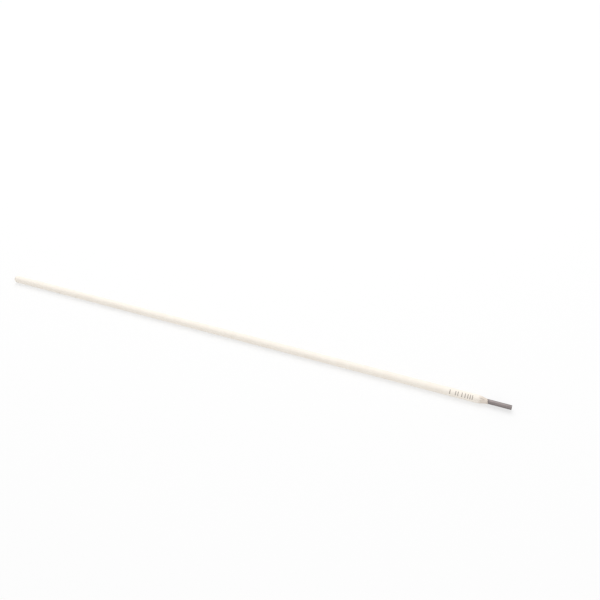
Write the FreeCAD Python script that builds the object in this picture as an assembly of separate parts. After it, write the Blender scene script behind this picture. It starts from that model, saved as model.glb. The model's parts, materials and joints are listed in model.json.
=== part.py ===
"""A stick welding electrode: a drawn steel core wire in an extruded flux coating.

Millimetres, +Z up. The rod lies along X. The origin is the centre of the cut face at the grip
end, so the whole rod lies on the -X side of it, and the striking end is the far one.
"""
import FreeCAD
import Part
import math
import os

from FreeCAD import Vector

# Core wire: 3/32 inch drawn wire, 12 inches long.
WIRE_DIAMETER = 2.38
ROD_LENGTH = 304.8
# The rim of the cropped face at the grip end is rolled over by this radius.
CROPPED_EDGE_ROUND = 0.15
# The wire brush takes this much off the radius of the bare stub, and the step runs out
# to full size over a short cone under the coating.
BRUSHED_RELIEF = 0.01
RELIEF_RUN_OUT = 1.0

# Flux coating: extruded round the wire, then brushed off the grip end.
COATING_DIAMETER = 4.2
BARE_LENGTH = 11.5
# The brushed nose, from its shoulder on the barrel to its toe on the wire, is a bullet shape:
# it leaves the barrel level and steepens as it closes in on the wire. The share says how far
# along the bullet its level start pulls the curve.
NOSE_LENGTH = 5.5
LEVEL_SHARE = 0.35
# The last stretch is a feather, a thin skin of coating that the brush leaves round the wire. It
# thins from the first wall to the second.
FEATHER_LENGTH = 1.1
FEATHER_WALL = 0.15
TOE_WALL = 0.08

# Striking end: the coating's rim is bevelled, and the wire shows flush in its middle.
STRIKING_BEVEL_LENGTH = 0.9
STRIKING_BEVEL_DEPTH = 0.55

ROD_AXIS = Vector(1, 0, 0)
FULL_TURN = 360

wire_radius = WIRE_DIAMETER / 2
stub_radius = wire_radius - BRUSHED_RELIEF
coating_radius = COATING_DIAMETER / 2
toe_radius = stub_radius + TOE_WALL
striking_face = -ROD_LENGTH
toe = -BARE_LENGTH
shoulder = toe - NOSE_LENGTH
feather_start = toe - FEATHER_LENGTH
feather_radius = stub_radius + FEATHER_WALL


def at(x, radius):
    """A point of a half section, at x along the rod and this far out from its axis."""
    return Vector(x, 0, radius)


def line(start, end):
    """A straight edge of a half section."""
    return Part.LineSegment(start, end).toShape()


def revolve(edges):
    """The solid that a closed half section sweeps in one turn about the rod's axis."""
    section = Part.Face(Part.Wire(edges))
    return section.revolve(Vector(), ROD_AXIS, FULL_TURN)


def cropped_rim():
    """The quarter round that rolls the stub over into its cropped face."""
    inset = CROPPED_EDGE_ROUND * (1 - math.sqrt(0.5))
    return Part.Arc(
        at(-CROPPED_EDGE_ROUND, stub_radius),
        at(-inset, stub_radius - inset),
        at(0, stub_radius - CROPPED_EDGE_ROUND),
    ).toShape()


def core_wire():
    """The full-length wire, a hair thinner where the grip end was brushed bright."""
    relief_start = toe - RELIEF_RUN_OUT
    return revolve([
        line(at(striking_face, 0), at(striking_face, wire_radius)),
        line(at(striking_face, wire_radius), at(relief_start, wire_radius)),
        line(at(relief_start, wire_radius), at(toe, stub_radius)),
        line(at(toe, stub_radius), at(-CROPPED_EDGE_ROUND, stub_radius)),
        cropped_rim(),
        line(at(0, stub_radius - CROPPED_EDGE_ROUND), at(0, 0)),
        line(at(0, 0), at(striking_face, 0)),
    ])


def brushed_bullet():
    """The nose's edge from the shoulder on the barrel to the feather, as a Bezier curve."""
    curve = Part.BezierCurve()
    curve.setPoles([
        at(shoulder, coating_radius),
        at(shoulder + LEVEL_SHARE * (feather_start - shoulder), coating_radius),
        at(feather_start, feather_radius),
    ])
    return curve.toShape()


def flux_coating(wire):
    """The coating: a barrel, bevelled at one end and brushed at the other, bored by the wire."""
    bevel_radius = coating_radius - STRIKING_BEVEL_DEPTH
    bevel_end = striking_face + STRIKING_BEVEL_LENGTH
    body = revolve([
        line(at(striking_face, 0), at(striking_face, bevel_radius)),
        line(at(striking_face, bevel_radius), at(bevel_end, coating_radius)),
        line(at(bevel_end, coating_radius), at(shoulder, coating_radius)),
        brushed_bullet(),
        line(at(feather_start, feather_radius), at(toe, toe_radius)),
        line(at(toe, toe_radius), at(toe, 0)),
        line(at(toe, 0), at(striking_face, 0)),
    ])
    return body.cut(wire)


def main():
    """Build both pieces, write a file for each, and print what was made."""
    os.makedirs("parts", exist_ok=True)
    wire = core_wire()
    pieces = {"core_wire": wire, "flux_coating": flux_coating(wire)}
    for name, shape in pieces.items():
        shape.exportStep(f"parts/{name}.step")
        box = shape.optimalBoundingBox(False)
        print(f"{name}: {len(shape.Solids)} solid, valid {shape.isValid()}, {shape.Volume:.1f} mm3, "
              f"x {box.XMin:.2f} to {box.XMax:.2f}, z {box.ZMin:.3f} to {box.ZMax:.3f}")


main()
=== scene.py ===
"""The looks of a stick welding electrode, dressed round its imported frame.

Metres, +Z up. The rod lies along X, with the grip end's cut face at the origin and the striking
end far out on -X. Both pieces are turned shapes. Each has a half section, drawn from the grip
end to the striking end, and one lathe made of Geometry Nodes turns it about the rod's axis,
gives it relief and lays out its bake map.
"""
import json
import logging
import math
from dataclasses import dataclass, field, fields
from enum import Enum
from typing import Any, Callable, Mapping, Sequence

import bpy
import numpy as np
from mathutils import Matrix, Vector


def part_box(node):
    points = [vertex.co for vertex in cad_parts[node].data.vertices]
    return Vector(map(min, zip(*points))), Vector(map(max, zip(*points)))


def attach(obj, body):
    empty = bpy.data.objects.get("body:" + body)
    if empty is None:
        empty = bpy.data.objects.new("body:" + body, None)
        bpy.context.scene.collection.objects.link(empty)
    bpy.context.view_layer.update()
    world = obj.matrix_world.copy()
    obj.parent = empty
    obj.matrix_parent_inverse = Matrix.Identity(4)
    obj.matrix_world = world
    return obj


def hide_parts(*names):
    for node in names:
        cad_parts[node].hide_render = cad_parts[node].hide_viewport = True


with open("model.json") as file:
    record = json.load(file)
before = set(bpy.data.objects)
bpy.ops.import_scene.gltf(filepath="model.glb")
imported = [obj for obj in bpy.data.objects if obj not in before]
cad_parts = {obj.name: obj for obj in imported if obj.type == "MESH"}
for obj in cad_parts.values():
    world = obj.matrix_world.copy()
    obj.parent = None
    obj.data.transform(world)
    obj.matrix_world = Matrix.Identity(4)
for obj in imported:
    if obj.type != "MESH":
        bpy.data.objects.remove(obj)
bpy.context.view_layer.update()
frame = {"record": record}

log = logging.getLogger("electrode")

MM = 0.001
BODY = "root"
BAKE_MAP = "OFBake"
ROUNDING_STEPS = 5
Point = tuple[float, float]
Triple = tuple[float, float, float]
WHITE = (1.0, 1.0, 1.0, 1.0)


def new_object(name: str, data: bpy.types.ID) -> bpy.types.Object:
    """Makes an object and puts it in the scene.

    Args:
        name: its name.
        data: its mesh, camera or lamp.

    Returns:
        The object.
    """
    made = bpy.data.objects.new(name, data)
    bpy.context.scene.collection.objects.link(made)
    return made


class Domain(Enum):
    """What a named attribute belongs to."""

    POINT = "POINT"
    EDGE = "EDGE"
    FACE = "FACE"
    CORNER = "CORNER"


class Kind(Enum):
    """What a named attribute holds."""

    NUMBER = "FLOAT"
    VECTOR = "FLOAT_VECTOR"
    MAP = "FLOAT2"


class Value:
    """A node's output. Python's operators on it add Math nodes to its tree."""

    def __init__(self, tree: "Tree", socket: bpy.types.NodeSocket) -> None:
        """Wraps one output socket of a tree's node."""
        self.tree = tree
        self.socket = socket

    def also(self, name: str) -> "Value":
        """Another output of the same node."""
        return Value(self.tree, self.tree.find(self.socket.node.outputs, name))

    def op(self, operation: str, *values: "Value | float") -> "Value":
        """Adds one Math node with these values as its inputs, and returns its result."""
        return self.tree.add("ShaderNodeMath", {"operation": operation}, dict(enumerate(values)))

    def __add__(self, other: "Value | float") -> "Value":
        """self + other"""
        return self.op("ADD", self, other)

    def __radd__(self, other: float) -> "Value":
        """other + self"""
        return self.op("ADD", other, self)

    def __sub__(self, other: "Value | float") -> "Value":
        """self - other"""
        return self.op("SUBTRACT", self, other)

    def __rsub__(self, other: float) -> "Value":
        """other - self"""
        return self.op("SUBTRACT", other, self)

    def __mul__(self, other: "Value | float") -> "Value":
        """self * other"""
        return self.op("MULTIPLY", self, other)

    def __rmul__(self, other: float) -> "Value":
        """other * self"""
        return self.op("MULTIPLY", other, self)

    def __truediv__(self, other: "Value | float") -> "Value":
        """self / other"""
        return self.op("DIVIDE", self, other)

    def __rtruediv__(self, other: float) -> "Value":
        """other / self"""
        return self.op("DIVIDE", other, self)

    def __gt__(self, other: "Value | float") -> "Value":
        """1 where self > other, and 0 elsewhere."""
        return self.op("GREATER_THAN", self, other)

    def __abs__(self) -> "Value":
        """The value without its sign."""
        return self.op("ABSOLUTE", self)

    def __floor__(self) -> "Value":
        """The value rounded down."""
        return self.op("FLOOR", self)


class Tree:
    """A node tree under construction, with one method that adds a node."""

    ROUGHNESS = 0.55

    def __init__(self, tree: bpy.types.NodeTree) -> None:
        """Takes over a tree and empties it."""
        self.tree = tree
        tree.nodes.clear()

    @staticmethod
    def find(sockets: Any, key: str | int) -> bpy.types.NodeSocket:
        """Finds a socket.

        Args:
            sockets: a node's inputs or its outputs.
            key: the socket's place, or else its identifier, or else its name.

        Returns:
            The socket.
        """
        if isinstance(key, int):
            return sockets[key]
        return next((s for s in sockets if s.identifier == key), None) or sockets[key]

    def add(
        self,
        kind: str,
        settings: Mapping[str, Any] | None = None,
        inputs: Mapping[str | int, Any] | None = None,
        output: str | int = 0,
    ) -> Value:
        """Adds one node.

        Args:
            kind: the node's type.
            settings: its properties, which are set first, and a ramp's stops.
            inputs: what goes into each socket: a number, a colour or another node's output.
            output: the output to return.

        Returns:
            That output, or the first input of a node that has none.
        """
        node = self.tree.nodes.new(kind)
        for name, setting in (settings or {}).items():
            if name == "stops":
                self.set_stops(node.color_ramp, setting)
            else:
                setattr(node, name, setting.value if isinstance(setting, Enum) else setting)
        for key, given in (inputs or {}).items():
            socket = self.find(node.inputs, key)
            if isinstance(given, Value):
                self.tree.links.new(given.socket, socket)
            else:
                socket.default_value = given
        return Value(self, self.find(node.outputs, output) if node.outputs else node.inputs[0])

    @staticmethod
    def set_stops(ramp: bpy.types.ColorRamp, stops: Sequence[Point]) -> None:
        """Makes a ramp hold a grey level from each place to the next.

        Args:
            ramp: the ramp.
            stops: the places and their levels, in rising order.
        """
        ramp.interpolation = "CONSTANT"
        ramp.elements.remove(ramp.elements[1])
        for number, (place, level) in enumerate(stops):
            element = ramp.elements.new(place) if number else ramp.elements[0]
            element.color = (level, level, level, 1.0)

    def parts(self, vector: Value) -> tuple[Value, Value, Value]:
        """A vector's three numbers."""
        x = self.add("ShaderNodeSeparateXYZ", inputs={0: vector})
        return x, x.also("Y"), x.also("Z")

    def vector(self, x: Value | float, y: Value | float, z: Value | float) -> Value:
        """A vector of three numbers."""
        return self.add("ShaderNodeCombineXYZ", inputs={0: x, 1: y, 2: z})

    def scaled(self, vector: Value, factor: Value | float) -> Value:
        """A vector times a number."""
        return self.add("ShaderNodeVectorMath", {"operation": "SCALE"}, {0: vector, "Scale": factor})

    def noise(self, vector: Value, seed: Value | float, detail: float = 2.0) -> Value:
        """Noise about 0.5, which rises and falls about once in each unit of the vector."""
        inputs = {"Vector": vector, "W": seed, "Scale": 1.0, "Detail": detail, "Roughness": self.ROUGHNESS}
        return self.add("ShaderNodeTexNoise", {"noise_dimensions": "4D"}, inputs)

    def ease(self, value: Value, start: float, end: float) -> Value:
        """A smooth rise from 0 where the value is at start to 1 where it is at end."""
        inputs = {"Value": value, "From Min": start, "From Max": end}
        return self.add("ShaderNodeMapRange", {"interpolation_type": "SMOOTHSTEP"}, inputs)


class ShaderTree(Tree):
    """The tree of one finish, with the rod's own coordinates at hand, in millimetres."""

    def __init__(self, name: str, seed: float) -> None:
        """Starts a material."""
        self.material = bpy.data.materials.new(name)
        self.material.use_nodes = True
        super().__init__(self.material.node_tree)
        self.seed = seed
        self.place = self.scaled(self.add("ShaderNodeTexCoord", output="Object"), 1 / MM)
        self.along, self.y, self.z = self.parts(self.place)
        across = self.vector(0.0, self.y, self.z)
        self.radius = self.add("ShaderNodeVectorMath", {"operation": "LENGTH"}, {0: across}, "Value")
        outward = self.add("ShaderNodeVectorMath", {"operation": "NORMALIZE"}, {0: across})
        _, self.cos, self.sin = self.parts(outward)

    def grain(self, size: float, detail: float = 2.0) -> Value:
        """Noise about 0.5 with grains of a size in millimetres."""
        return self.noise(self.scaled(self.place, 1 / size), self.seed, detail)

    def streaks(self, width: float, length: float, detail: float = 2.0) -> Value:
        """Noise in streaks along the rod: width as a share of its radius, length in millimetres."""
        place = self.vector(self.along / length, self.cos / width, self.sin / width)
        return self.noise(place, self.seed, detail)

    def girth_from(self, turn: float) -> Value:
        """The distance round the rod from a line along it, in millimetres.

        Args:
            turn: where the line lies, as an angle from +Y towards +Z.

        Returns:
            The distance, positive towards a larger angle.
        """
        ahead = self.y * math.cos(turn) + self.z * math.sin(turn)
        aside = self.z * math.cos(turn) - self.y * math.sin(turn)
        return self.radius * aside.op("ARCTAN2", aside, ahead)

    def between(self, value: Value, low: float, high: float, soft: float) -> Value:
        """1 where a value is between two others, with edges that fade over a distance."""
        rise = self.ease(value, low - soft / 2, low + soft / 2)
        return rise * self.ease(value, high + soft / 2, high - soft / 2)

    def blend(self, factor: Value | float, first: Value | Triple, second: Value | Triple) -> Value:
        """A colour between two others.

        Args:
            factor: 0 for the first and 1 for the second.
            first: a colour.
            second: another.

        Returns:
            The blend.
        """
        first, second = (c if isinstance(c, Value) else (*c, 1.0) for c in (first, second))
        inputs = {"Factor_Float": factor, "A_Color": first, "B_Color": second}
        return self.add("ShaderNodeMix", {"data_type": "RGBA"}, inputs, "Result_Color")

    def bump(self, height: Value, depth: float) -> Value:
        """A normal from a height between 0 and 1 that stands for a depth in millimetres."""
        return self.add("ShaderNodeBump", inputs={"Height": height, "Distance": depth * MM})

    def finish(self, **sockets: Value | float) -> bpy.types.Material:
        """Ends the tree in a Principled shader.

        Args:
            sockets: what goes into it, by name, with an underscore for each space.

        Returns:
            The finished material.
        """
        inputs = {name.replace("_", " "): value for name, value in sockets.items()}
        shader = self.add("ShaderNodeBsdfPrincipled", inputs=inputs)
        self.add("ShaderNodeOutputMaterial", inputs={"Surface": shader})
        return self.material


@dataclass(frozen=True)
class Strip:
    """A band across the bake map. It holds one stretch of a half section, in one row or more."""

    low: float
    high: float
    rows: int = 1
    girth_across: bool = False
    margin: float = 0.01

    def place(self, row: int, start: float, end: float) -> tuple[Triple, Triple]:
        """Says where a segment of the half section lies in the map.

        Args:
            row: the row that it is in.
            start: where it starts in that row, as a share of the longest row.
            end: where it ends there.

        Returns:
            The map's two coordinates. Each has its value at the segment's start, its change to
            the segment's end, and its change over one turn round the rod.
        """
        width = 1 - self.margin
        left = self.margin / 2
        height = (self.high - self.low) / self.rows - self.margin
        bottom = self.low + row * (height + self.margin) + left
        if self.girth_across:
            return (left, 0.0, width), (bottom + height * (1 - start), height * (start - end), 0.0)
        return (left + width * start, width * (end - start), 0.0), (bottom, 0.0, height)


@dataclass(frozen=True)
class Relief:
    """The share of each kind of relief that one point of a half section takes."""

    grain: float = 0.0
    streak: float = 0.0
    fray: float = 0.0


class HalfSection:
    """The half section of a turned piece, from its grip end over its outside to its far end."""

    def __init__(self) -> None:
        """Starts with no point."""
        self.points: list[Point] = []
        self.reliefs: list[Relief] = []
        self.strips: list[Strip] = []

    def run(
        self, points: Sequence[Point], strip: Strip, relief: Callable[[float], Relief] = lambda x: Relief()
    ) -> None:
        """Adds a stretch.

        Args:
            points: its points, as (x, radius). The first may repeat the last one of the section.
            strip: where it goes in the bake map.
            relief: the relief that a point takes, from its x.
        """
        joined = bool(self.points) and math.dist(points[0], self.points[-1]) < Lathe.MERGE_DISTANCE
        new = points[1:] if joined else points
        self.strips += [strip] * (len(new) if self.points else len(new) - 1)
        self.points += new
        self.reliefs += [relief(x) for x, _ in new]

    def lengths(self) -> list[float]:
        """The length of each segment."""
        return [math.dist(a, b) for a, b in zip(self.points, self.points[1:])]

    def outward(self) -> np.ndarray:
        """Works out which way the surface faces.

        Returns:
            The outward direction at each point, as (x, radius).
        """
        steps = np.diff(np.array(self.points), axis=0)
        normals = np.column_stack((steps[:, 1], -steps[:, 0])) / np.linalg.norm(steps, axis=1)[:, None]
        closed = math.dist(self.points[0], self.points[-1]) < Lathe.MERGE_DISTANCE
        before = np.vstack((normals[-1:] if closed else normals[:1], normals))
        after = np.vstack((normals, normals[:1] if closed else normals[-1:]))
        summed = before + after
        on_axis = np.array(self.points)[:, 1] == 0
        summed[on_axis, 1] = 0.0
        return summed / np.linalg.norm(summed, axis=1)[:, None]

    def map_places(self) -> list[tuple[Triple, Triple]]:
        """Lays the segments out in the bake map, strip by strip and row by row.

        Returns:
            Each segment's place, as Strip.place gives it.
        """
        lengths = self.lengths()
        places: dict[int, tuple[Triple, Triple]] = {}
        for strip in dict.fromkeys(self.strips):
            members = [i for i, its_strip in enumerate(self.strips) if its_strip == strip]
            total = sum(lengths[i] for i in members)
            rows: list[list[int]] = [[] for _ in range(strip.rows)]
            done = 0.0
            for i in members:
                rows[int((done + lengths[i] / 2) / total * strip.rows)].append(i)
                done += lengths[i]
            longest = max(sum(lengths[i] for i in row) for row in rows)
            for number, row in enumerate(rows):
                start = 0.0
                for i in row:
                    end = start + lengths[i] / longest
                    places[i] = strip.place(number, start, end)
                    start = end
        return [places[i] for i in range(len(lengths))]

    def to_object(self, name: str) -> bpy.types.Object:
        """Makes the half section an object: a line of vertices with its data as attributes.

        Args:
            name: the object's name.

        Returns:
            The object.
        """
        mesh = bpy.data.meshes.new(name)
        edges = [(i, i + 1) for i in range(len(self.points) - 1)]
        mesh.from_pydata([(x, 0.0, radius) for x, radius in self.points], edges, [])
        places = self.map_places()
        places.append(places[-1])
        columns = {
            "outward": [(x, 0.0, radius) for x, radius in self.outward()],
            "relief": [(r.grain, r.streak, r.fray) for r in self.reliefs],
            "map_across": [across for across, _ in places],
            "map_up": [up for _, up in places],
        }
        for column, rows in columns.items():
            attribute = mesh.attributes.new(column, Kind.VECTOR.value, Domain.POINT.value)
            attribute.data.foreach_set("vector", np.array(rows, np.float32).ravel())
        return new_object(name, mesh)


@dataclass(frozen=True)
class LatheSettings:
    """The values of the lathe's named inputs. Depths and sizes are in metres."""

    seed: float
    grain_depth: float
    grain_size: float
    streak_depth: float
    streak_length: float
    streak_width: float
    fray_depth: float
    fray_size: float
    slant: float
    slant_turn: float
    pit_depth: float = 0.0
    sectors: int = 96
    sharp_edge: float = math.radians(40)


class Lathe:
    """A Geometry Nodes tree that turns a half section about the rod's axis."""

    MERGE_DISTANCE = 1e-6
    PIT_START, PIT_END = 0.62, 0.74
    STORE = "GeometryNodeStoreNamedAttribute"
    SAMPLED = {"data_type": Kind.VECTOR, "domain": Domain.POINT, "clamp": True}

    def __init__(self) -> None:
        """Builds the tree once, for every turned piece."""
        self.group = bpy.data.node_groups.new("lathe", "GeometryNodeTree")
        self.tree = Tree(self.group)
        self.add_socket("half_section", "NodeSocketGeometry")
        self.identifiers: dict[str, str] = {}
        for setting in fields(LatheSettings):
            kind = "NodeSocketInt" if setting.type is int else "NodeSocketFloat"
            self.identifiers[setting.name] = self.add_socket(setting.name, kind)
        self.identifiers["material"] = self.add_socket("material", "NodeSocketMaterial")
        self.add_socket("piece", "NodeSocketGeometry", "OUTPUT")
        self.given = self.tree.add("NodeGroupInput")
        self.build()

    def add_socket(self, name: str, kind: str, side: str = "INPUT") -> str:
        """Adds a named socket to the tree and returns its identifier."""
        return self.group.interface.new_socket(name, in_out=side, socket_type=kind).identifier

    def wanted(self, name: str) -> Value:
        """The value of one of the named inputs."""
        return self.given.also(name)

    def stored(self, name: str, kind: Kind = Kind.NUMBER) -> Value:
        """A named attribute."""
        return self.tree.add("GeometryNodeInputNamedAttribute", {"data_type": kind}, {"Name": name})

    def store(self, on: Value, name: str, value: Value, domain: Domain, kind: Kind = Kind.NUMBER) -> Value:
        """Writes a named attribute on a geometry, and returns the geometry with it."""
        inputs = {"Geometry": on, "Name": name, "Value": value}
        return self.tree.add(self.STORE, {"data_type": kind, "domain": domain}, inputs)

    def from_section(self, value: Value, index: Value) -> tuple[Value, Value, Value]:
        """The three numbers of a vector at one point of the half section."""
        inputs = {"Geometry": self.given, "Value": value, "Index": index}
        return self.tree.parts(self.tree.add("GeometryNodeSampleIndex", self.SAMPLED, inputs))

    def build(self) -> None:
        """Lays out the tree: numbered grid, bake map, turning with relief, seam, edges, finish.

        Half a step is added before a number is rounded down, which keeps it clear of the edge.
        """
        tree = self.tree
        sectors = self.wanted("sectors")
        section = {"Geometry": self.given}
        rings = tree.add("GeometryNodeAttributeDomainSize", {"component": "MESH"}, section, "Point Count")
        grid = tree.add("GeometryNodeMeshGrid", inputs={"Vertices X": rings, "Vertices Y": sectors + 1.0})
        index = tree.add("GeometryNodeInputIndex")
        ring = math.floor((index + 0.5) / (sectors + 1.0))
        grid = self.store(grid, "ring", ring, Domain.POINT)
        grid = self.store(grid, "sector", index - ring * (sectors + 1.0), Domain.POINT)
        grid = self.store(grid, "segment", math.floor((index + 0.5) / sectors), Domain.FACE)
        turned = self.turn(self.lay_out_map(grid))
        merged = tree.add(
            "GeometryNodeMergeByDistance", inputs={"Geometry": turned, "Distance": self.MERGE_DISTANCE}
        )
        smooth = tree.add("GeometryNodeSetShadeSmooth", {"domain": Domain.FACE}, {"Geometry": merged})
        creased = tree.add("GeometryNodeSetShadeSmooth", {"domain": Domain.EDGE}, {
            "Geometry": smooth,
            "Selection": tree.add("GeometryNodeInputMeshEdgeAngle") > self.wanted("sharp_edge"),
            "Shade Smooth": False,
        })
        for name in ("ring", "sector", "segment"):
            creased = tree.add("GeometryNodeRemoveAttribute", inputs={"Geometry": creased, "Name": name})
        real = tree.add("GeometryNodeRealizeInstances", inputs={"Geometry": creased})
        finish = self.wanted("material")
        dressed = tree.add("GeometryNodeSetMaterial", inputs={"Geometry": real, "Material": finish})
        tree.add("NodeGroupOutput", inputs={"piece": dressed})

    def lay_out_map(self, grid: Value) -> Value:
        """Writes the bake map on the grid's corners, each face in its segment's place.

        Args:
            grid: the grid, with its rings, sectors and segments numbered.

        Returns:
            The grid with its map.
        """
        segment = self.stored("segment")
        past_start = self.stored("ring") - segment
        turned = self.stored("sector") / self.wanted("sectors")
        coordinates = []
        for name in ("map_across", "map_up"):
            start, rise, rise_round = self.from_section(self.stored(name, Kind.VECTOR), segment)
            coordinates.append(start + rise * past_start + rise_round * turned)
        return self.store(grid, BAKE_MAP, self.tree.vector(*coordinates, 0.0), Domain.CORNER, Kind.MAP)

    def turn(self, grid: Value) -> Value:
        """Moves the grid's points onto the turned surface, and adds the relief.

        Args:
            grid: the grid, with its rings and sectors numbered.

        Returns:
            The turned surface, still open along its seam.
        """
        tree = self.tree
        seed = self.wanted("seed")
        ring = self.stored("ring")
        x, _, radius = self.from_section(tree.add("GeometryNodeInputPosition"), ring)
        out_x, _, out_radius = self.from_section(self.stored("outward", Kind.VECTOR), ring)
        grain, streak, fray = self.from_section(self.stored("relief", Kind.VECTOR), ring)
        turn = self.stored("sector") / self.wanted("sectors") * math.tau
        cos, sin = turn.op("COSINE", turn), turn.op("SINE", turn)
        surface = tree.vector(x, radius * cos, radius * sin)
        grain_noise = tree.noise(tree.scaled(surface, 1.0 / self.wanted("grain_size")), seed)
        pits = tree.ease(grain_noise, self.PIT_START, self.PIT_END)
        width = self.wanted("streak_width")
        drawn_out = tree.vector(x / self.wanted("streak_length"), cos / width, sin / width)
        fray_noise = tree.noise(tree.scaled(surface, 1.0 / self.wanted("fray_size")), seed)
        slant = self.wanted("slant") / 2 * turn.op("COSINE", turn - self.wanted("slant_turn"))
        shift = fray * (self.wanted("fray_depth") * (fray_noise - 0.5) + slant)
        relief = (
            grain * (self.wanted("grain_depth") * (grain_noise - 0.5) - self.wanted("pit_depth") * pits)
            + streak * self.wanted("streak_depth") * (tree.noise(drawn_out, seed) - 0.5)
        )
        out = radius + out_radius * relief
        place = tree.vector(x + out_x * relief + shift, out * cos, out * sin)
        return tree.add("GeometryNodeSetPosition", inputs={"Geometry": grid, "Position": place})

    def cut(
        self, name: str, section: HalfSection, settings: LatheSettings, material: bpy.types.Material
    ) -> bpy.types.Object:
        """Turns a half section into a piece.

        Args:
            name: the piece's name.
            section: its half section.
            settings: the values of the named inputs.
            material: its finish.

        Returns:
            The piece, a plain mesh with no modifier left.
        """
        blank = section.to_object(name + "_blank")
        modifier = blank.modifiers.new("lathe", "NODES")
        modifier.node_group = self.group
        for given in fields(settings):
            modifier[self.identifiers[given.name]] = getattr(settings, given.name)
        modifier[self.identifiers["material"]] = material
        graph = bpy.context.evaluated_depsgraph_get()
        mesh = bpy.data.meshes.new_from_object(blank.evaluated_get(graph), depsgraph=graph)
        mesh.name = name
        mesh.materials.pop(index=0)
        bpy.data.objects.remove(blank)
        return new_object(name, mesh)


def straight(start: Point, end: Point, step: float) -> list[Point]:
    """Divides a straight stretch.

    Args:
        start: where it starts, as (x, radius).
        end: where it ends.
        step: how far apart the points are, or a little less or more.

    Returns:
        The points, with both ends.
    """
    count = max(1, round(math.dist(start, end) / step))
    return [
        (start[0] + (end[0] - start[0]) * i / count, start[1] + (end[1] - start[1]) * i / count)
        for i in range(count + 1)
    ]


def bezier(poles: Sequence[Point], count: int) -> list[Point]:
    """Divides a Bezier curve.

    Args:
        poles: its poles, as (x, radius).
        count: how many steps it has.

    Returns:
        The points, with both ends.
    """
    degree = len(poles) - 1
    shares = np.linspace(0.0, 1.0, count + 1)
    weights = [math.comb(degree, k) * shares**k * (1 - shares) ** (degree - k) for k in range(degree + 1)]
    return [tuple(point) for point in np.column_stack(weights) @ np.array(poles)]


def softened(before: Point, corner: Point, after: Point, set_back: float) -> list[Point]:
    """Rounds a corner between two straight stretches.

    Args:
        before: a point on the stretch that leads to the corner.
        corner: the corner, as (x, radius).
        after: a point on the stretch that leaves it.
        set_back: how far from the corner the rounding starts and ends.

    Returns:
        The points, with both ends.
    """
    middle = Vector(corner)
    start = middle + (Vector(before) - middle).normalized() * set_back
    end = middle + (Vector(after) - middle).normalized() * set_back
    return bezier([start, middle, end], ROUNDING_STEPS)


def smooth_step(value: float, start: float, end: float) -> float:
    """Rises smoothly from 0 where the value is at start to 1 where it is at end."""
    share = min(max((value - start) / (end - start), 0.0), 1.0)
    return share * share * (3 - 2 * share)


@dataclass(frozen=True)
class RodSizes:
    """The sizes that both pieces share, in metres."""

    length: float
    wire_radius: float
    stub_radius: float
    coating_radius: float
    toe: float

    @classmethod
    def from_frame(cls) -> "RodSizes":
        """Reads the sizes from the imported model.

        Returns:
            The sizes.
        """
        wire_low, wire_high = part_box("core_wire")
        _, coating_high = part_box("flux_coating")
        grip = frame["record"]["mounts"][0]
        return cls(
            length=wire_high.x - wire_low.x,
            wire_radius=wire_high.z,
            stub_radius=grip["dims"]["r_mm"] * MM,
            coating_radius=coating_high.z,
            toe=coating_high.x,
        )


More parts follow.
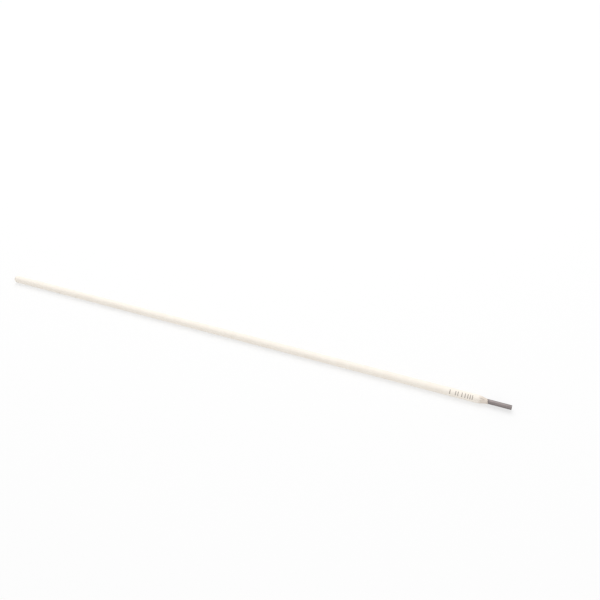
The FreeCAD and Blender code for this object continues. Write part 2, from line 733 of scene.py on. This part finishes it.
@dataclass(frozen=True)
class SteelFinish:
    """Drawn steel, wire-brushed along the rod and sheared off at its ends.

    Lengths are in millimetres. A streak is given as its width, as a share of the rod's radius,
    and its length. A pair named for a range holds where its noise or place gives 0 and gives 1.
    """

    seed: float = 3.0
    groove: Triple = (0.155, 0.135, 0.133)
    ridge: Triple = (0.315, 0.277, 0.271)
    # Painted shade, partly soot: a dark line on the wire where the coating's toe meets it.
    shade_and_soot_colour: Triple = (0.085, 0.068, 0.062)
    torn: Triple = (0.33, 0.30, 0.29)
    sheared: Triple = (0.50, 0.465, 0.455)
    fine_streak: Point = (0.05, 5.0)
    broad_streak: Point = (0.35, 9.0)
    broad_share: float = 0.28
    brushed_range: Point = (0.33, 0.67)
    octaves: float = 3.0
    face_depth: float = 0.08
    shear_pitch: float = 0.07
    shear_length: float = 1.1
    shear_range: Point = (0.36, 0.64)
    pit_size: float = 0.35
    pitted_waver: float = 0.8
    pitted_range: Point = (-0.15, -0.45)
    # The painted shade line at the toe: its length, fade, waver size, waver and share of the colour.
    shade_and_soot_length: float = 0.9
    shade_and_soot_fade: float = 0.4
    stain_size: float = 0.5
    shade_and_soot_waver: float = 0.8
    shade_and_soot_share: float = 0.25
    grain_size: float = 0.12
    relief_depth: float = 0.012

    def material(self, rod: RodSizes) -> bpy.types.Material:
        """Makes the material.

        Args:
            rod: the rod's sizes.

        Returns:
            The material.
        """
        tree = ShaderTree("brushed_steel", self.seed)
        toe = rod.toe / MM
        far = rod.length / MM
        fine = tree.streaks(*self.fine_streak, self.octaves)
        broad = tree.streaks(*self.broad_streak)
        mixed = fine * (1 - self.broad_share) + broad * self.broad_share
        face = tree.ease(abs(tree.along + far / 2), far / 2 - self.face_depth, far / 2)
        brushed = tree.ease(mixed, *self.brushed_range) * (1.0 - face)

        which_end = tree.ease(tree.along, -far, 0.0)
        across_face = tree.vector(0.0, tree.y / self.shear_pitch, tree.z / self.shear_length)
        lines = tree.noise(across_face, which_end + self.seed, self.octaves)
        waver = (tree.grain(self.pit_size) - 0.5) * self.pitted_waver
        pitted = tree.ease(tree.z + waver, *self.pitted_range)
        bright = tree.ease(lines, *self.shear_range) * (1.0 - pitted * 0.8)

        # Painted shade where the wire meets the coating's toe. The same mask also makes the metal duller
        # and rougher, like soot.
        shade_and_soot_place = tree.along - tree.grain(self.stain_size) * self.shade_and_soot_waver
        toe_shade = tree.ease(shade_and_soot_place, toe + self.shade_and_soot_length - self.shade_and_soot_fade, toe - self.shade_and_soot_fade)
        colour = tree.blend(brushed, self.groove, self.ridge)
        colour = tree.blend(face, colour, tree.blend(bright, self.torn, self.sheared))
        # The colour darkens there: painted shade, partly soot.
        colour = tree.blend(toe_shade * self.shade_and_soot_share, colour, self.shade_and_soot_colour)
        height = fine * 0.7 * (1.0 - face) + face * lines * 0.7 + tree.grain(self.grain_size) * 0.3
        return tree.finish(
            Base_Color=colour,
            Metallic=1.0 - toe_shade * 0.4,
            Roughness=0.36 + brushed * 0.16 + toe_shade * 0.2 + face * 0.12 + face * pitted * 0.12,
            Normal=tree.bump(height, self.relief_depth),
        )


@dataclass(frozen=True)
class Scratch:
    """A short scratch. Its ends are given as (x, distance round the rod above the print's middle)."""

    start: Point
    end: Point
    strength: float


@dataclass(frozen=True)
class CoatingFinish:
    """Pale extruded flux with a row of plain ink bars.

    Lengths, streaks and ranges are given as in the steel's finish.
    """

    seed: float = 11.0
    pale: Triple = (0.95, 0.892, 0.812)
    warm: Triple = (0.917, 0.85, 0.765)
    pore: Triple = (0.78, 0.70, 0.60)
    speck: Triple = (0.52, 0.42, 0.33)
    brushed_light: Triple = (0.85, 0.775, 0.69)
    brushed_dark: Triple = (0.62, 0.53, 0.455)
    # Painted shade along the toe, where the coating ends on the wire.
    toe_painted_shade: Triple = (0.20, 0.16, 0.14)
    ground: Triple = (0.76, 0.69, 0.60)
    ink: Triple = (0.125, 0.09, 0.075)
    mottle_size: float = 3.5
    mottle_range: Point = (0.36, 0.64)
    drawn_streak: Point = (0.12, 14.0)
    fine_size: float = 0.18
    octaves: float = 3.0
    pore_range: Point = (0.5, 0.3)
    pore_share: float = 0.2
    speck_size: float = 0.33
    speck_range: Point = (0.68, 0.74)
    speck_share: float = 0.45
    stroke: Point = (0.09, 3.0)
    stroke_range: Point = (0.36, 0.66)
    brushed_from: float = 0.2
    brushed_to: float = 3.2
    brushed_waver: float = 2.4
    # How much of the painted shade along the toe shows.
    toe_shade_share: float = 0.3
    lump_size: float = 0.5
    print_turn: float = math.radians(128)
    print_half_height: float = 1.17
    bar_width: float = 0.5
    bar_middles: tuple[float, ...] = (-29.95, -27.1, -25.95, -24.0, -22.4, -21.1, -19.9, -18.85)
    bar_softness: float = 0.04
    row_end_softness: float = 0.004
    ragged_size: float = 0.16
    ragged_along: float = 0.1
    ragged_round: float = 0.2
    bare_spot_size: float = 0.3
    bare_spot_range: Point = (0.28, 0.46)
    ink_share: float = 0.57
    scratches: tuple[Scratch, ...] = (
        Scratch((-15.6, 0.75), (-13.3, 0.4), 0.7),
        Scratch((-15.3, -0.45), (-14.3, -0.93), 0.5),
    )
    scratch_width: float = 0.16
    scratch_ragged_size: float = 0.35
    scratch_waver: float = 0.2
    scratch_fade: float = 0.9
    relief_depth: float = 0.05

    def printed(self, tree: ShaderTree) -> Value:
        """Draws the ink bars, with ragged edges and ink that has not taken everywhere.

        Args:
            tree: the material's tree.

        Returns:
            1 on ink and 0 elsewhere.
        """
        first = self.bar_middles[0] - self.bar_width / 2
        span = self.bar_middles[-1] + self.bar_width / 2 - first
        stops = []
        for middle in self.bar_middles:
            start = (middle - self.bar_width / 2 - first) / span
            stops += [(start, 1.0), (start + self.bar_width / span, 0.0)]
        ragged = tree.grain(self.ragged_size) - 0.5
        place = (tree.along + ragged * self.ragged_along - first) / span
        bars = tree.add("ShaderNodeValToRGB", {"stops": stops}, {"Fac": place})
        inside = tree.between(place, 0.0, 1.0, self.row_end_softness)
        girth = abs(tree.girth_from(self.print_turn) + ragged * self.ragged_round)
        top = self.print_half_height
        band = tree.ease(girth, top + self.bar_softness, top - self.bar_softness)
        taken = tree.ease(tree.grain(self.bare_spot_size, self.octaves), *self.bare_spot_range)
        return bars * inside * band * taken

    def scratched(self, tree: ShaderTree) -> Value:
        """Draws the short scratches on the nose.

        Args:
            tree: the material's tree.

        Returns:
            A scratch's strength on it, and 0 elsewhere.
        """
        girth = tree.girth_from(self.print_turn) * -1.0
        reach = self.scratch_width * (0.2 + tree.grain(self.scratch_ragged_size))
        waver = (tree.grain(self.lump_size) - 0.5) * self.scratch_waver
        mask: Value | float = 0.0
        for scratch in self.scratches:
            (x0, g0), (x1, g1) = scratch.start, scratch.end
            length = math.hypot(x1 - x0, g1 - g0)
            ux, ug = (x1 - x0) / length, (g1 - g0) / length
            from_x, from_g = tree.along - x0, girth - g0
            ahead = from_x * ux + from_g * ug
            aside = from_g * ux - from_x * ug + waver
            line = tree.ease((reach - abs(aside)) / self.scratch_width, 0.0, 0.5)
            mask = mask + line * tree.between(ahead, 0.0, length, self.scratch_fade) * scratch.strength
        return mask

    def material(self, rod: RodSizes, shoulder: float, bevel_end: float) -> bpy.types.Material:
        """Makes the material.

        Args:
            rod: the rod's sizes.
            shoulder: where the brushed nose starts, in metres.
            bevel_end: where the bevel at the striking end stops, in metres.

        Returns:
            The material.
        """
        tree = ShaderTree("extruded_flux", self.seed)
        toe, nose_edge, bevel_edge = rod.toe / MM, shoulder / MM, bevel_end / MM
        fine = tree.grain(self.fine_size, self.octaves)
        mottle = tree.grain(self.mottle_size, self.octaves) * 0.6 + tree.streaks(*self.drawn_streak) * 0.4
        specks = tree.ease(tree.grain(self.speck_size), *self.speck_range)
        colour = tree.blend(tree.ease(mottle, *self.mottle_range), self.warm, self.pale)
        colour = tree.blend(tree.ease(fine, *self.pore_range) * self.pore_share, colour, self.pore)
        colour = tree.blend(specks * self.speck_share, colour, self.speck)

        strokes = tree.streaks(*self.stroke, self.octaves)
        brushed_place = tree.along + (strokes - 0.5) * self.brushed_waver
        brushed = tree.ease(brushed_place, nose_edge + self.brushed_from, nose_edge + self.brushed_to)
        stroke_tone = tree.ease(strokes * 0.7 + fine * 0.3, *self.stroke_range)
        colour = tree.blend(brushed, colour, tree.blend(stroke_tone, self.brushed_dark, self.brushed_light))
        # Painted shade along the toe, where the coating ends on the wire.
        toe_shade = tree.ease(tree.along + (fine - 0.5) * 0.8, toe - 0.5, toe + 0.3)
        colour = tree.blend(toe_shade * self.toe_shade_share, colour, self.toe_painted_shade)

        bevel = tree.ease(tree.along + (fine - 0.5) * 0.3, bevel_edge + 0.1, bevel_edge - 0.1)
        colour = tree.blend(bevel, colour, tree.blend(fine, self.ground, self.warm))

        ink = self.printed(tree)
        colour = tree.blend(ink * self.ink_share, colour, self.ink)
        scratch = self.scratched(tree)
        colour = tree.blend(scratch, colour, self.ink)
        lumps = fine * 0.45 + tree.grain(self.lump_size) * 0.3
        height = lumps + strokes * brushed * 0.5 - specks * 0.25 - scratch
        return tree.finish(
            Base_Color=colour,
            Roughness=0.68 + fine * 0.2 + brushed * 0.08 - ink * 0.15,
            Specular_IOR_Level=0.35,
            Normal=tree.bump(height, self.relief_depth),
        )


@dataclass
class CoreWire:
    """The drawn steel wire: bare and brushed at the grip end, and inside the coating beyond it."""

    rod: RodSizes
    cropped_round: float = 0.15 * MM
    cropped_face_reach: float = 0.5 * MM
    relief_run_out: float = 1.0 * MM
    finish: SteelFinish = field(default_factory=SteelFinish)
    lathe_settings: LatheSettings = LatheSettings(
        seed=3.0,
        grain_depth=0.03 * MM,
        grain_size=0.18 * MM,
        streak_depth=0.012 * MM,
        streak_length=6 * MM,
        streak_width=0.11,
        fray_depth=0.05 * MM,
        fray_size=0.7 * MM,
        slant=0.06 * MM,
        slant_turn=math.radians(250),
    )
    FACE_STEP, STUB_STEP, HIDDEN_STEP, FAR_FACE_STEP = 0.1 * MM, 0.15 * MM, 20 * MM, 0.12 * MM
    FACE = Strip(0.80, 1.0, girth_across=True)
    STUB = Strip(0.27, 0.80)
    HIDDEN = Strip(0.13, 0.27, rows=2)
    FAR_FACE = Strip(0.0, 0.13, girth_across=True)

    def stub_relief(self, x: float) -> Relief:
        """Die lines along the stub, and a cropped face that is torn and a little out of square."""
        return Relief(grain=0.12, streak=1.0, fray=smooth_step(x, -self.cropped_face_reach, 0.0))

    def half_section(self) -> HalfSection:
        """Draws the wire's half section.

        Returns:
            The half section.
        """
        rod = self.rod
        far = -rod.length
        flat_end = (0.0, rod.stub_radius - self.cropped_round)
        stub_end = (rod.toe, rod.stub_radius)
        run_out = (rod.toe - self.relief_run_out, rod.wire_radius)
        far_rim = (far, rod.wire_radius)
        face = straight((0.0, 0.0), flat_end, self.FACE_STEP)
        rim = softened(flat_end, (0.0, rod.stub_radius), (far, rod.stub_radius), self.cropped_round)
        section = HalfSection()
        section.run(face, self.FACE, lambda x: Relief(grain=1.0, fray=1.0))
        section.run(rim, self.FACE, self.stub_relief)
        section.run(straight(rim[-1], stub_end, self.STUB_STEP), self.STUB, self.stub_relief)
        section.run([stub_end, run_out], self.HIDDEN)
        section.run(straight(run_out, far_rim, self.HIDDEN_STEP), self.HIDDEN)
        far_face = straight(far_rim, (far, 0.0), self.FAR_FACE_STEP)
        section.run(far_face, self.FAR_FACE, lambda x: Relief(grain=0.6))
        return section

    def build(self, lathe: Lathe) -> bpy.types.Object:
        """Makes the piece and puts it in its node's place.

        Args:
            lathe: the lathe that turns it.

        Returns:
            The piece.
        """
        material = self.finish.material(self.rod)
        piece = lathe.cut("drawn_wire", self.half_section(), self.lathe_settings, material)
        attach(piece, BODY)
        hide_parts("core_wire")
        return piece


@dataclass
class FluxCoating:
    """The extruded coating: a barrel with a brushed nose at the grip end and a bevel at the other."""

    rod: RodSizes
    nose_length: float = 5.5 * MM
    level_share: float = 0.35
    feather_length: float = 1.1 * MM
    feather_wall: float = 0.15 * MM
    toe_wall: float = 0.08 * MM
    bevel_length: float = 0.9 * MM
    bevel_depth: float = 0.55 * MM
    edge_softness: float = 0.12 * MM
    brush_lead: float = 0.5 * MM
    brush_gain: float = 1.5 * MM
    barrel_streak: float = 0.2
    streak_fade: float = 1.0 * MM
    fray_reach: float = 2.2 * MM
    relief_run_out: float = 1.0 * MM
    finish: CoatingFinish = field(default_factory=CoatingFinish)
    lathe_settings: LatheSettings = LatheSettings(
        seed=11.0,
        grain_depth=0.03 * MM,
        grain_size=0.9 * MM,
        pit_depth=0.02 * MM,
        streak_depth=0.07 * MM,
        streak_length=5 * MM,
        streak_width=0.13,
        fray_depth=0.5 * MM,
        fray_size=0.55 * MM,
        slant=0.8 * MM,
        slant_turn=math.radians(216.6),
    )
    TOE_STEP, BARREL_STEP, BEVEL_STEP, BORE_STEP = 0.06 * MM, 0.8 * MM, 0.1 * MM, 20 * MM
    NOSE_STEPS = 60
    NOSE = Strip(0.72, 1.0, girth_across=True)
    BARREL = Strip(0.16, 0.72, rows=5)
    STRIKING_END = Strip(0.04, 0.16, girth_across=True)
    BORE = Strip(0.0, 0.04)

    @property
    def shoulder(self) -> float:
        """Where the nose leaves the barrel."""
        return self.rod.toe - self.nose_length

    @property
    def bevel_end(self) -> float:
        """Where the bevel meets the barrel."""
        return self.bevel_length - self.rod.length

    def nose_relief(self, x: float) -> Relief:
        """Gives the nose its brush strokes, and its toe a fray that slants round the wire.

        Args:
            x: a place along the rod.

        Returns:
            The relief there.
        """
        toe = self.rod.toe
        brushed = smooth_step(x, self.shoulder - self.brush_lead, self.shoulder + self.brush_gain)
        strokes = brushed * (1 - smooth_step(x, toe - self.streak_fade, toe))
        return Relief(
            grain=1.0,
            streak=self.barrel_streak + (1 - self.barrel_streak) * strokes,
            fray=smooth_step(x, toe - self.fray_reach, toe),
        )

    def nose(self) -> list[Point]:
        """Draws the nose's edge: its feather from the toe on, and then the bullet.

        Returns:
            Its points, up to the shoulder.
        """
        rod = self.rod
        feather_start = (rod.toe - self.feather_length, rod.stub_radius + self.feather_wall)
        level_end = self.shoulder + self.level_share * (feather_start[0] - self.shoulder)
        poles = [feather_start, (level_end, rod.coating_radius), (self.shoulder, rod.coating_radius)]
        toe = (rod.toe, rod.stub_radius + self.toe_wall)
        return straight(toe, feather_start, self.TOE_STEP)[:-1] + bezier(poles, self.NOSE_STEPS)

    def half_section(self) -> HalfSection:
        """Draws the coating's half section, closed along its bore.

        Returns:
            The half section.
        """
        rod = self.rod
        far = -rod.length
        crest = (self.bevel_end, rod.coating_radius)
        rim = (far, rod.coating_radius - self.bevel_depth)
        bore_end = (far, rod.wire_radius)
        shoulder = (self.shoulder, rod.coating_radius)
        soft_crest = softened(shoulder, crest, rim, self.edge_softness)
        soft_rim = softened(crest, rim, bore_end, self.edge_softness)
        section = HalfSection()
        toe_edge = (rod.toe, rod.stub_radius)
        section.run([toe_edge, (rod.toe, rod.stub_radius + self.toe_wall)], self.NOSE, self.nose_relief)
        section.run(self.nose(), self.NOSE, self.nose_relief)
        section.run(straight(shoulder, soft_crest[0], self.BARREL_STEP), self.BARREL, self.nose_relief)
        bevel = straight(soft_crest[-1], soft_rim[0], self.BEVEL_STEP)
        end_face = straight(soft_rim[-1], bore_end, self.BEVEL_STEP)
        for stretch in (soft_crest, bevel, soft_rim, end_face):
            section.run(stretch, self.STRIKING_END, self.nose_relief)
        run_out = (rod.toe - self.relief_run_out, rod.wire_radius)
        section.run(straight(bore_end, run_out, self.BORE_STEP), self.BORE)
        section.run([run_out, toe_edge], self.BORE, self.nose_relief)
        return section

    def build(self, lathe: Lathe) -> bpy.types.Object:
        """Makes the piece and puts it in its node's place.

        Args:
            lathe: the lathe that turns it.

        Returns:
            The piece.
        """
        material = self.finish.material(self.rod, self.shoulder, self.bevel_end)
        piece = lathe.cut("extruded_coating", self.half_section(), self.lathe_settings, material)
        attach(piece, BODY)
        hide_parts("flux_coating")
        return piece


@dataclass(frozen=True)
class Lamp:
    """A soft square lamp: where it hangs, how long its sides are, and its power in watts."""

    name: str
    place: Triple
    size: float
    power: float


@dataclass
class Studio:
    """A white floor, soft light from above and behind, and the camera.

    The camera's place comes from three places in a picture of 600 by 600 pixels, which has its
    centre in the middle: the vanishing point of the rod's striking end, the one of straight
    down, and the middle of the grip end's cut face, with its depth.
    """

    floor_height: float
    picture: float = 600.0
    focal_pixels: float = 640.0
    rod_vanishing_pixel: Point = (-1600.0, -142.0)
    down_vanishing_pixel: Point = (361.0, 920.0)
    grip_end_pixel: Point = (511.85, 407.7)
    grip_end_depth: float = 0.31
    sensor_width: float = 36.0
    floor_size: float = 12.0
    floor_colour: Triple = (0.9, 0.9, 0.9)
    floor_glow: float = 0.6
    fade: Point = (0.6, 2.0)
    world_light: float = 0.67
    nearest_shown: float = 0.01
    lamps: tuple[Lamp, ...] = (
        Lamp("key", (-0.35, 0.55, 1.0), 0.9, 6.8),
        Lamp("fill", (0.5, -0.7, 0.7), 1.2, 2.0),
    )
    lamp_aim: Triple = (-0.08, 0.0, 0.0)

    def ray(self, pixel: Point) -> Vector:
        """The direction of a pixel, one unit deep, as (right, down, ahead)."""
        right, down = ((place - self.picture / 2) / self.focal_pixels for place in pixel)
        return Vector((right, down, 1.0))

    def add_camera(self) -> None:
        """Adds the camera."""
        x_axis = -self.ray(self.rod_vanishing_pixel).normalized()
        down = self.ray(self.down_vanishing_pixel)
        z_axis = -(down - down.dot(x_axis) * x_axis).normalized()
        to_camera = Matrix((x_axis, z_axis.cross(x_axis), z_axis)).transposed()
        eye = -(to_camera.transposed() @ (self.ray(self.grip_end_pixel) * self.grip_end_depth))
        right, down_row, ahead = to_camera
        data = bpy.data.cameras.new("camera")
        data.sensor_width = self.sensor_width
        data.lens = self.focal_pixels / self.picture * self.sensor_width
        data.clip_start = self.nearest_shown
        camera = new_object("camera", data)
        turn = Matrix((right, -down_row, -ahead)).transposed().to_4x4()
        camera.matrix_world = Matrix.Translation(eye) @ turn
        bpy.context.scene.camera = camera

    @staticmethod
    def seen_directly(tree: Tree) -> Value:
        """1 for the rays that show the backdrop: from the camera, a gloss or a clear body."""
        path = tree.add("ShaderNodeLightPath", output="Is Camera Ray")
        return path + path.also("Is Glossy Ray") + path.also("Is Transmission Ray")

    def add_floor(self) -> None:
        """Adds the floor, a pale sheet that keeps the rod's shadow and turns white far from it."""
        mesh = bpy.data.meshes.new("floor")
        half = self.floor_size / 2
        square = ((-half, -half), (half, -half), (half, half), (-half, half))
        mesh.from_pydata([(x, y, self.floor_height) for x, y in square], [], [(0, 1, 2, 3)])
        floor = new_object("floor", mesh)
        material = bpy.data.materials.new("floor_white")
        material.use_nodes = True
        tree = Tree(material.node_tree)
        paper = tree.add("ShaderNodeBsdfDiffuse", inputs={"Color": (*self.floor_colour, 1.0)})
        glow = tree.add("ShaderNodeEmission", inputs={"Color": WHITE, "Strength": 1.0})
        place = tree.add("ShaderNodeTexCoord", output="Object")
        distance = tree.add("ShaderNodeVectorMath", {"operation": "LENGTH"}, {0: place}, "Value")
        glowing = self.floor_glow + (1 - self.floor_glow) * tree.ease(distance, *self.fade)
        share = self.seen_directly(tree) * glowing
        shown = tree.add("ShaderNodeMixShader", inputs={0: share, 1: paper, 2: glow})
        tree.add("ShaderNodeOutputMaterial", inputs={"Surface": shown})
        mesh.materials.append(material)

    def add_world(self) -> None:
        """Adds an even white surround, which lights less than it shows."""
        world = bpy.data.worlds.new("surround")
        world.use_nodes = True
        tree = Tree(world.node_tree)
        strength = self.world_light + (1 - self.world_light) * self.seen_directly(tree)
        shown = tree.add("ShaderNodeBackground", inputs={"Color": WHITE, "Strength": strength})
        tree.add("ShaderNodeOutputWorld", inputs={"Surface": shown})
        bpy.context.scene.world = world

    def add_lamp(self, lamp: Lamp) -> None:
        """Adds a lamp.

        Args:
            lamp: its place, size and power.
        """
        data = bpy.data.lights.new(lamp.name, "AREA")
        data.size = lamp.size
        data.energy = lamp.power
        hung = new_object(lamp.name, data)
        facing = (Vector(self.lamp_aim) - Vector(lamp.place)).to_track_quat("-Z", "Y").to_matrix().to_4x4()
        hung.matrix_world = Matrix.Translation(lamp.place) @ facing

    def build(self) -> None:
        """Builds the whole studio."""
        self.add_camera()
        self.add_floor()
        self.add_world()
        for lamp in self.lamps:
            self.add_lamp(lamp)


def main() -> None:
    """Builds the studio and both pieces."""
    bpy.context.scene.view_settings.view_transform = "Standard"
    rod = RodSizes.from_frame()
    Studio(floor_height=-rod.coating_radius).build()
    lathe = Lathe()
    for part in (CoreWire(rod), FluxCoating(rod)):
        piece = part.build(lathe)
        log.info("%s: %d faces", piece.name, len(piece.data.polygons))


if __name__ == "__main__":
    logging.basicConfig(level=logging.INFO, format="%(name)s: %(message)s")
    main()
